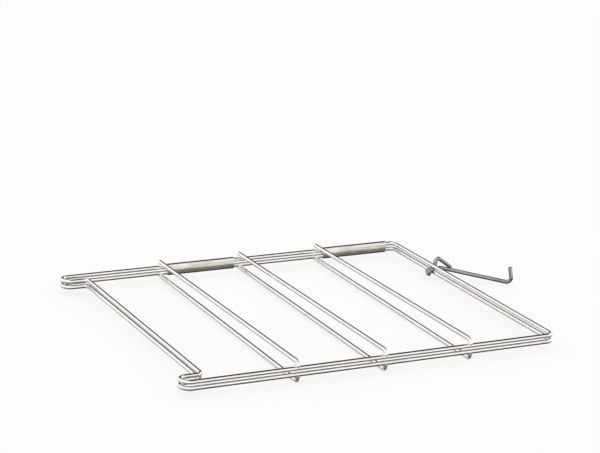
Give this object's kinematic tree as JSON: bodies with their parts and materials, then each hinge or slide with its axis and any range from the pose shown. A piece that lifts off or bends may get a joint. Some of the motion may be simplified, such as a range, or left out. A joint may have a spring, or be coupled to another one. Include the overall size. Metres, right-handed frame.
{
  "type": "fold-down wire drying rack",
  "caption": "Chrome wire drying rack made of matching wire leaves hinged like a book by flat sleeves, with ears to hang it and a loose wire hook.",
  "frame": {"origin": "on the wall plane under the middle of the hinge line", "axes": "+X along the hinge line towards the hook, +Y from the front rails towards the hinge, +Z out from the wall"},
  "size_m": [0.6398, 0.473, 0.0318],
  "materials": {
    "chrome_wire": "bright chrome plating over drawn steel wire",
    "sleeve_metal": "chrome-plated rolled sheet, slightly duller than the wire",
    "hook_wire": "chrome-plated wire, greyer than the leaves"
  },
  "bodies": {
    "lower_leaf": {"lower_frame": "chrome_wire", "lower_bar_1": "chrome_wire", "lower_bar_2": "chrome_wire", "lower_bar_3": "chrome_wire", "hinge_sleeve_1": "sleeve_metal", "hinge_sleeve_2": "sleeve_metal"},
    "upper_leaf": {"upper_frame": "chrome_wire", "upper_bar_1": "chrome_wire", "upper_bar_2": "chrome_wire", "upper_bar_3": "chrome_wire"},
    "hook": {"stay_hook": "hook_wire"}
  },
  "joints": [
    {"name": "leaf_fold", "type": "hinge", "parent": "lower_leaf", "child": "upper_leaf", "pos_m": [0, 0, 0.0201], "axis": [-1, 0, 0], "range_deg": [0, 85]},
    {"name": "hook_swing", "type": "hinge", "parent": "lower_leaf", "child": "hook", "pos_m": [0.254, -0.1242, 0.0117], "axis": [0, 1, 0], "range_deg": [0, 30]}
  ]
}
